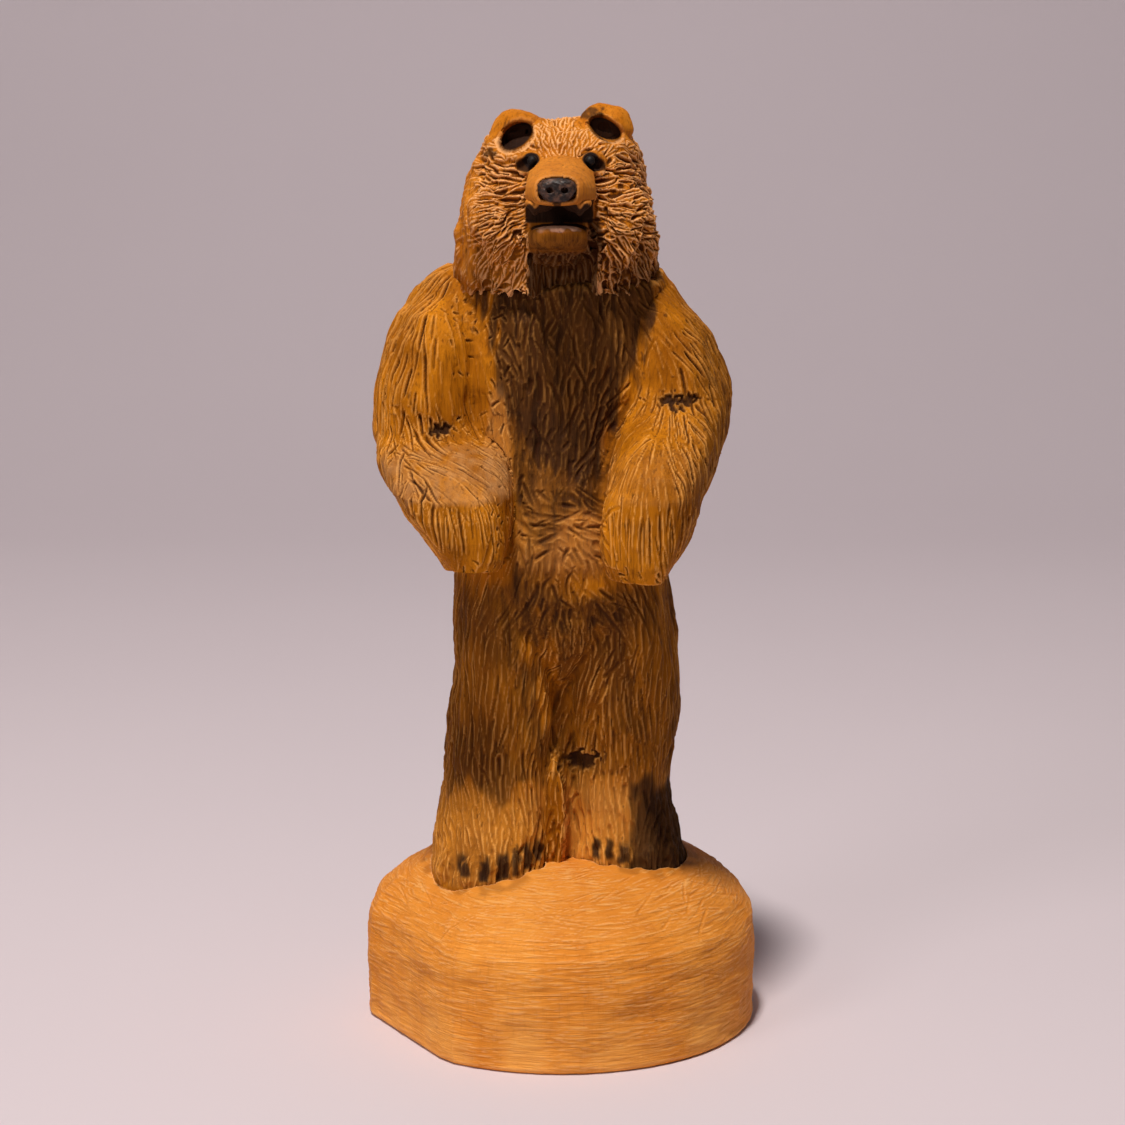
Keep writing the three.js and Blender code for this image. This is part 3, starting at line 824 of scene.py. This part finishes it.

    # Stain on the chest and the belly, with the head's shadow painted on the chest and painted shade in the
    # belly's deeper cuts; painted shade on the legs under the arms and on the outside of the left arm; a
    # painted shadow on the left foot.
    sheet.relief(gouge.depth, 0.06, 0.42)
    patch = smoothstep(Waves(22, 31)(points * [1, 1, 0.5]), -0.6, 0.9)
    ragged = Waves(6, 33)(points * [1, 1, 0.3])
    # Chest: stain with the head's painted shadow. Belly: stain, darker in the deeper cuts as painted shade.
    stain_and_shade = (0.95 + 0.05 * (z < 205)) * chest
    stain_and_shade += belly * (0.82 * patch + 0.3 * smoothstep(gouge.depth, 0.5, 1.1))
    # Painted shade on the outside of the left arm, the side away from the light.
    stain_and_shade += 0.42 * arm * smoothstep(x, 36, 47)
    # Painted shade on the legs where the arms' shadow falls.
    shade = smoothstep(z + 3 * ragged, 79, 84) * (1 - smoothstep(z + 5 * ragged, 148, 166)) * (1 - belly)
    bright = inside_any(points, BRIGHT, 0.5)
    stain_and_shade += (0.37 + 0.3 * patch) * shade * (1 - arm) * (1 - 0.8 * bright)
    # A painted shadow of the left arm on the left foot.
    painted_foot_shadow = smoothstep(x + 1.5 * ragged, 19, 24)
    painted_foot_shadow *= 1 - smoothstep(z + 2 * ragged + 0.25 * (x - 22), 80, 88)
    painted_foot_shadow *= smoothstep(16 - y - 4 * ragged, 0, 14)
    stain_and_shade *= 1 - (0.35 - 0.12 * chest) * sheet.layers["ridge"]
    # The holes and the splinter cuts are darkened inside, a painted shade.
    holes = sheet.blur(holes, 4)
    stain_and_shade = np.maximum.reduce([stain_and_shade * (1 - 0.7 * valley), 0.9 * painted_foot_shadow, 0.85 * holes, 0.6 * splinters])
    # Less painted shade in the cut floors of the shins and the belly, and less painted highlight on the
    # upper arms and the belly.
    sheet.layers["hollow"] *= 1 - 0.6 * shins * (1 - 0.5 * valley) - 0.3 * belly
    sheet.layers["ridge"] *= 1 - 0.4 * arm * smoothstep(z, 200, 212) - 0.4 * belly
    # A painted light on the shins below the arms' shadow, stronger on the left.
    painted_shin_light = (0.22 + 0.2 * (x > 0)) * shins * (1 - valley)
    sheet.layers["ridge"] += painted_shin_light * (1 - sheet.layers["ridge"])
    claws = claw_zone(points, normals)
    sheet.layer("stain_and_shade", sheet.blur(np.maximum(stain_and_shade, 0.95 * claws), 1))
    # Painted shade in the deepest cuts of the arms; below it, more of the head's painted shadow low on the
    # chest.
    deep_cut_shade = arm * smoothstep(gouge.depth, 1.2, 2.0)
    low_chest = chest * (1 - smoothstep(z, 195, 212))
    char_and_shade = np.maximum.reduce([0.35 * claws, 0.4 * painted_foot_shadow, 0.25 * low_chest, 0.6 * holes, 0.5 * deep_cut_shade])
    sheet.layer("char_and_shade", char_and_shade)
    # The forearms' tops, the right one most, are pale: wood left unstained, with a painted highlight where
    # they face up. A strip beside the arm and parts of the belly are pale and unstained.
    top = arm * smoothstep(z + 0.5 * ragged, 178.6, 180.4) * (1 - smoothstep(z + 2 * ragged, 189, 197))
    top *= smoothstep(-y, 22, 30) * (0.8 + 0.2 * Waves(3, 34)(points * [1, 0.5, 0.5]))
    strip = inside(points, (-20, -32, 192), (4, 12, 22), 0.3)
    dry_and_highlight = np.where(x < 0, 0.66, 0.15) * top + 0.3 * strip
    sheet.layer("dry_and_highlight", dry_and_highlight + 0.35 * belly * (1 - patch) * smoothstep(z, 150, 160))
    sheet.unwrap(body_bands)
    wood = carved_wood(
        "figure_wood",
        light=(0.61, 0.206, 0.006, 1),
        dark=(0.31, 0.092, 0.002, 1),
        bare_and_highlight=(0.88, 0.4, 0.09, 1),
        dry_and_highlight=(0.52, 0.26, 0.1, 1),
        hollow=0.8,
    )
    sheet.done(wood)


def body_bands(middle, way):
    """Legs and arms of one side lie over those of the other, and the feet over paws and shoulders."""
    sideways = middle[:, 0] > 0
    level = np.digitize(middle[:, 2], [140, 205])
    return np.where(way == 0, sideways, np.where(way == 2, level, 0))


# The head.

# The smooth part of each ear: centre and radii.
EARS = (((-14.8, -7, 291.4), (9.6, 7, 8.6)), ((14.2, -7, 292.8), (9.6, 7, 8.6)))
# A dark mark on the rim of the left ear, and one at the foot of the right ear: centre and radii.
LEFT_EAR_MARK = ((10.4, -6, 296.6), (3.0, 8, 1.6))
RIGHT_EAR_MARK = ((-21.6, -13, 285), (1.8, 9, 1.2))
# The bowl of each ear: its middle, half length, half width, and the angle it leans outward and down.
EAR_BOWLS = (((-13.9, 290.0), 6.0, 3.7, 0.6), ((13.9, 292.2), 5.7, 3.3, 0.45))


def ear_bowls(points, soft):
    """1 in the bowl of each ear, with an edge that is twice the soft share of its size wide."""
    x, y, z = points.T
    bowls = np.zeros(len(points))
    for (cx, cz), length, width, lean in EAR_BOWLS:
        out, up = np.sign(cx) * (x - cx), z - cz
        along = out * np.cos(lean) - up * np.sin(lean)
        across = out * np.sin(lean) + up * np.cos(lean)
        distance = np.hypot(along / length, across / width)
        bowls = np.maximum(bowls, 1 - smoothstep(distance, 1 - soft, 1 + soft))
    return bowls * smoothstep(-y, 3, 4.5)


def head_flow(points, normals):
    """Which way the strokes run: out from the face, more level on the cheeks and down in the mane."""
    x, y, z = points.T
    ways = along_skin(points - FACE_CENTRE, normals)
    ways[:, 2] *= np.where(np.abs(x) > 9, 0.3, 1.0)
    ways[:, 2] -= 0.22 * (1 - smoothstep(z, 262, 280))
    ways[:, 2] -= 0.85 * (1 - smoothstep(z, 247, 260))
    ways[:, 2] -= 1.3 * smoothstep(y, -10, 8)
    ways[:, 2] += 0.22 * Waves(9, 41)(points)
    return along_skin(ways, normals)


def head_zones(points):
    """How far each point belongs to the smooth muzzle and to the jaw."""
    x, y, z = points.T
    bridge = np.interp(-y, (22, 28, 50), (5.5, 10, 11.5))
    muzzle = (1 - smoothstep(np.abs(x), bridge - 0.5, bridge + 1.2)) * smoothstep(-y, 25, 28) * (z > 265.5)
    jaw = (1 - smoothstep(np.abs(x + 1), 8.6, 10)) * smoothstep(-y, 27, 30)
    jaw = jaw * (z < 266) * smoothstep(z, 253, 258)
    return muzzle, jaw


def make_head():
    rng = np.random.default_rng(37)
    sheet = Sheet("head", "carved_head", HEAD_VOXEL)
    face = inside(sheet.points, (0, -36, 272), (13, 17, 16), 0.25)
    hollow = ear_bowls(sheet.points, 0.3)
    sheet.soften(int(60 / COARSE), (1 - face) * (1 - hollow))
    sheet.soften(int(6 / COARSE), 1.0)
    # Each ear's bowl has one floor, cut down through the fur at the ear's foot.
    bowl = ear_bowls(sheet.points, 0.1)
    sheet.points[:, 1] += bowl * np.clip(-6.2 - sheet.points[:, 1], 0, 12)
    # The chin runs back into the throat, and the upper lip is a low arch with a small fang each side.
    x, y, z = sheet.points.T
    under = inside(sheet.points, (-1, -32, 255), (12, 12, 5), 0.4) * (1 - smoothstep(z, 258, 261))
    sheet.soften(int(60 / COARSE), under)
    x, y, z = sheet.points.T
    fang = np.exp(-(((np.abs(x + 1.2) - 6.9) / 0.9) ** 2)) * smoothstep(-y, 39, 42)
    lip = (z > 266.5) * smoothstep(-y, 24, 30) * (1 - smoothstep(np.abs(x), 11, 13))
    sheet.points[:, 2] += 1.2 * smoothstep(273.2 - z, 0, 4.4) * lip * (1 - fang)
    # The lower lip is a thin torn edge.
    edge = np.exp(-(((z - 263.6) / 0.8) ** 2)) * (np.abs(x + 1.4) < 8.5) * smoothstep(-y, 37, 39)
    sheet.points[:, 1] -= (0.7 + 0.3 * Waves(2.5, 45)(sheet.points)) * edge
    normals = sheet.normals()
    x, y, z = sheet.points.T
    face = inside(sheet.points, (0, -36, 272), (13, 17, 16), 0.25)
    lumps = 0.5 * Waves(13, 7)(sheet.points) + 0.25 * Waves(6, 8)(sheet.points)
    sheet.points += normals * (lumps * (1 - face) * (1 - hollow) * smoothstep(z, 243.5, 246))[:, None]
    # The mane's tufts hang a little over the shoulders.
    x, y, z = sheet.points.T
    rim = (1 - smoothstep(z, 244, 253)) * smoothstep(np.hypot(x, y - 4), 20, 26)
    opening = smoothstep(14 - np.abs(x - 0.5), 0, 4) * smoothstep(-y, 8, 14)
    rim *= 1 - opening
    tuft = 1.1 + 0.9 * Waves(5, 43)(sheet.points * [1, 1, 0.3])
    outward = unit(np.stack([x, y - 4, np.zeros_like(x)], 1))
    sheet.points += outward * (rim * (0.1 + 0.35 * tuft))[:, None]
    sheet.points[:, 2] -= rim * np.clip(tuft + 1.0, 0.8, 3.2)
    # The throat runs down into the chest.
    sheet.points -= ((1 - smoothstep(z, 243.5, 249)) * opening)[:, None] * [0, 1.2, 2.6]
    gouge = Gouge(sheet, rng)
    points, normals = gouge.points, gouge.normals
    x, y, z = points.T
    gouge.ways = head_flow(points, normals)
    muzzle, jaw = head_zones(points)
    hollow = ear_bowls(points, 0.08)
    ear_rim = inside_any(points, EARS, 0.1)
    ear_rim = ear_rim * smoothstep(z, 285, 288) + 0.8 * ear_bowls(points, 0.4)
    sockets, ring, lids = np.zeros((3, len(points)))
    for ex, ey, ez in EYES:
        side = np.sign(ex)
        sockets = np.maximum(sockets, inside(points, (ex + side * 1.9, ey, ez - 1.3), (3.0, 5, 1.9), 0.2))
        ring = np.maximum(ring, inside(points, (ex + 0.3 * side, ey, ez), (2.6, 5, 2.4), 0.15))
        lids = np.maximum(lids, inside(points, (ex + side, ey, ez - 0.5), (4.0, 7, 3.1), 0.25))
    mouth = (np.abs(x + 0.6) < 10.6) & (y > -47.5) & (y < -18) & (z > 264.4) & (z < 272.4)
    mouth &= normals[:, 2] < 0.2 + 0.9 * (z < 268)
    throat = (1 - smoothstep(np.abs(x - 0.5), 9.5, 11.5)) * (1 - smoothstep(z, 252, 256))
    throat = throat * smoothstep(-y, 14, 18)
    fur = (1 - muzzle) * (1 - jaw) * (1 - hollow) * (1 - sockets) * (~mouth) * np.clip(1 - ear_rim, 0, 1)
    mane = fur * (1 - smoothstep(z, 276, 283)) * (1 - throat)
    crown = fur * smoothstep(z, 276, 283)

    # Deep pleats in the mane with fine cuts among them, then the throat and the short fur of the crown.
    gouge.carve(mane, (2.0, 0.85), (7, 15), (1.9, 3.1), (1.0, 2.3), turn=0.12, bend=0.03, tool=1.8)
    cheeks = mane * smoothstep(np.abs(x), 10, 14)
    gouge.carve(cheeks, (3.0, 1.0), (4, 10), (1.0, 1.5), (1.2, 2.2), turn=0.2, bend=0.05, tool=1.2)
    under_jaw = throat * (1 - jaw)
    gouge.carve(under_jaw, (1.9, 2.0), (6, 14), (1.3, 2.3), (0.5, 1.1), turn=0.1, bend=0.01, tool=1.8)
    gouge.carve(crown, (1.5, 1.0), (3.5, 9), (0.9, 1.6), (0.25, 0.7), turn=0.25, bend=0.05, tool=1.5)
    smooth = np.maximum.reduce([muzzle, jaw, ear_rim, lids, 0.8 * smoothstep(-x, 25, 28.5)])
    gouge.depth *= 1 - np.clip(sheet.blur(smooth, 2), 0, 1)
    gouge.depth += 0.7 * sheet.blur(sockets, 2)
    gouge.sink(lift=0.3)

    sheet.relief(gouge.depth, 0.05, 0.4)
    smooth = np.maximum.reduce([muzzle, jaw, np.clip(ear_rim, 0, 1), lids])
    nape = 1 - smoothstep(z + 2.5 * Waves(6, 44)(points), 246, 256)
    # Smooth parts keep little of the ridges' painted highlight and the cut floors' painted shade; the
    # muzzle takes a little of the ridge colour, and the low right of the mane has less painted shade.
    sheet.layers["ridge"] = sheet.layers["ridge"] * (1 - 0.85 * smooth) + 0.09 * muzzle
    sheet.layers["hollow"] *= 1 - 0.85 * smooth
    sheet.layers["hollow"] *= 1 - 0.4 * (1 - smoothstep(z, 252, 262)) * smoothstep(-x, 8, 14)
    # Painted shade darkens the chin towards its bottom. The throat under the jaw and the low mane, most on
    # its left, are stained and darkened by painted shade.
    chin = jaw * (1 - smoothstep(z + 0.6 * Waves(6, 46)(points), 256, 267))
    low_mane = nape * np.where(x > 0, 0.6 * smoothstep(x, 12, 20), 0.3 * smoothstep(-x, 19, 26))
    under = (1 - smoothstep(np.abs(x - 0.5), 9.5, 11.5)) * (1 - smoothstep(z, 254, 261))
    under = under * smoothstep(-y, 14, 18)
    bitten = points + (0.5 * Waves(2.5, 48)(points))[:, None]
    ear_marks = np.maximum(inside(bitten, *LEFT_EAR_MARK, 0.25), inside(bitten, *RIGHT_EAR_MARK, 0.4))
    stain_and_shade = np.maximum.reduce([0.88 * under, low_mane, 0.88 * chin, 0.9 * sockets, 0.9 * ear_marks])
    # Painted shade in the gap between the jaw and the mane on the left.
    jaw_gap_shade = (np.abs(x - 10.5) < 1.8) & (z > 256) & (z < 266) & (y < -26)
    sheet.layer("stain_and_shade", sheet.blur(np.maximum(stain_and_shade, 0.8 * jaw_gap_shade), 3))
    philtrum = (np.abs(x + 1.2) < 1.2) * (z > 268.5) * (z < 273) * (y < -44)
    # The mouth is charred inside and back to the lower lip, not on the outside of the cheeks.
    mouth &= np.sign(x + 0.6) * normals[:, 0] < 0.85
    floor = (y > -38.8) & (y < -18) & (z > 262.4) & (z < 265) & (normals[:, 2] > 0.3)
    mouth |= (np.abs(x + 0.6) < 10.3) & floor
    char_and_shade = np.maximum.reduce([0.97 * hollow, 0.72 * sockets, ring, 0.96 * mouth, 0.85 * philtrum])
    sheet.layer("char_and_shade", sheet.blur(char_and_shade, 1))
    # The top of the lower lip is pale: the torn edge's uncoloured wood with a painted highlight.
    lip = smoothstep(z + 0.35 * Waves(4, 47)(points), 262.5, 263.1) * (z < 265) * (np.abs(x + 1.4) < 8.4)
    lip *= smoothstep(-y, 38.6, 39.0)
    sheet.layer("dry_and_highlight", lip)
    sheet.layers["ridge"] = np.clip(sheet.layers["ridge"], 0, 1)
    sheet.unwrap(head_bands)
    wood = carved_wood(
        "head_wood",
        light=(0.7, 0.24, 0.018, 1),
        dark=(0.46, 0.135, 0.005, 1),
        bare_and_highlight=(0.98, 0.52, 0.22, 1),
        dry_and_highlight=(0.95, 0.56, 0.38, 1),
        hollow=0.92,
    )
    sheet.done(wood)


def head_bands(middle, way):
    """The two cheeks lie over each other, and the jaw, the mouth's roof and the crown do."""
    level = np.digitize(middle[:, 2], [262, 274])
    return np.where(way == 2, level, (way == 0) * (middle[:, 0] > 0))


# The small parts.


def fine_copy(node, name, material):
    """A CAD node carried over as a piece of its own, rounded by subdivision."""
    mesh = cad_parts[node].data.copy()
    welded = bmesh.new()
    welded.from_mesh(mesh)
    bmesh.ops.remove_doubles(welded, verts=welded.verts, dist=WELD)
    bmesh.ops.subdivide_edges(welded, edges=welded.edges, cuts=1, use_grid_fill=True, smooth=0.6)
    for face in welded.faces:
        face.smooth = True
    welded.to_mesh(mesh)
    welded.free()
    mesh.name = name
    mesh.materials.clear()
    mesh.materials.append(material)
    piece = bpy.data.objects.new(name, mesh)
    scene.collection.objects.link(piece)
    place(piece, node)


def make_nose():
    sheet = Sheet("nose", "carved_nose", NOSE_VOXEL)
    sheet.soften(int(10 / COARSE))
    x, _, z = (sheet.points - NOSE_CENTRE).T
    sheet.points[:, 0] -= 0.26 * x * smoothstep(-z, -0.5, 3)
    lumps = 0.07 * Waves(2.2, 9)(sheet.points) + 0.05 * Waves(0.9, 10)(sheet.points)
    sheet.points += sheet.normals() * lumps[:, None]
    sheet.unwrap(one_band)
    sheet.done(painted_nose("nose_stain"))


def add_backdrop():
    """A pale sweep: a floor that curves up into a wall a long way behind."""
    front, bend, radius, top, half = -1.6, 0.9, 0.9, 3.2, 3.0
    profile = [(front, 0.0)]
    for angle in np.linspace(0, np.pi / 2, 17):
        profile.append((bend + radius * np.sin(angle), radius * (1 - np.cos(angle))))
    profile.append((bend + radius, top))
    mesh = bpy.data.meshes.new("backdrop")
    vertices = [(x, y, z) for y, z in profile for x in (-half, half)]
    faces = [(2 * i, 2 * i + 1, 2 * i + 3, 2 * i + 2) for i in range(len(profile) - 1)]
    mesh.from_pydata(vertices, [], faces)
    for polygon in mesh.polygons:
        polygon.use_smooth = True
    s = Shader("paper")
    tint = s.noise(s.position((1, 1, 1)), 3, 2, 0.5)
    colour = s.mix(tint, (0.65, 0.572, 0.608, 1), (0.68, 0.602, 0.638, 1))
    mesh.materials.append(s.finish(colour, 0.85, Specular_IOR_Level=0.2))
    backdrop = bpy.data.objects.new("backdrop", mesh)
    scene.collection.objects.link(backdrop)


scene.view_settings.view_transform = "Standard"
add_camera()
add_world()
for lamp in LAMPS:
    add_area(*lamp)
add_backdrop()
make_base()
make_body()
make_head()
make_nose()
bead = polished_bead("bead")
for node in ("right_eye", "left_eye"):
    fine_copy(node, "bead_" + node, bead)
dowel = bare_dowel("dowel_wood")
for node in ("neck_dowel", "right_foot_dowel", "left_foot_dowel"):
    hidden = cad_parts[node]
    hidden.data.materials.clear()
    hidden.data.materials.append(dowel)
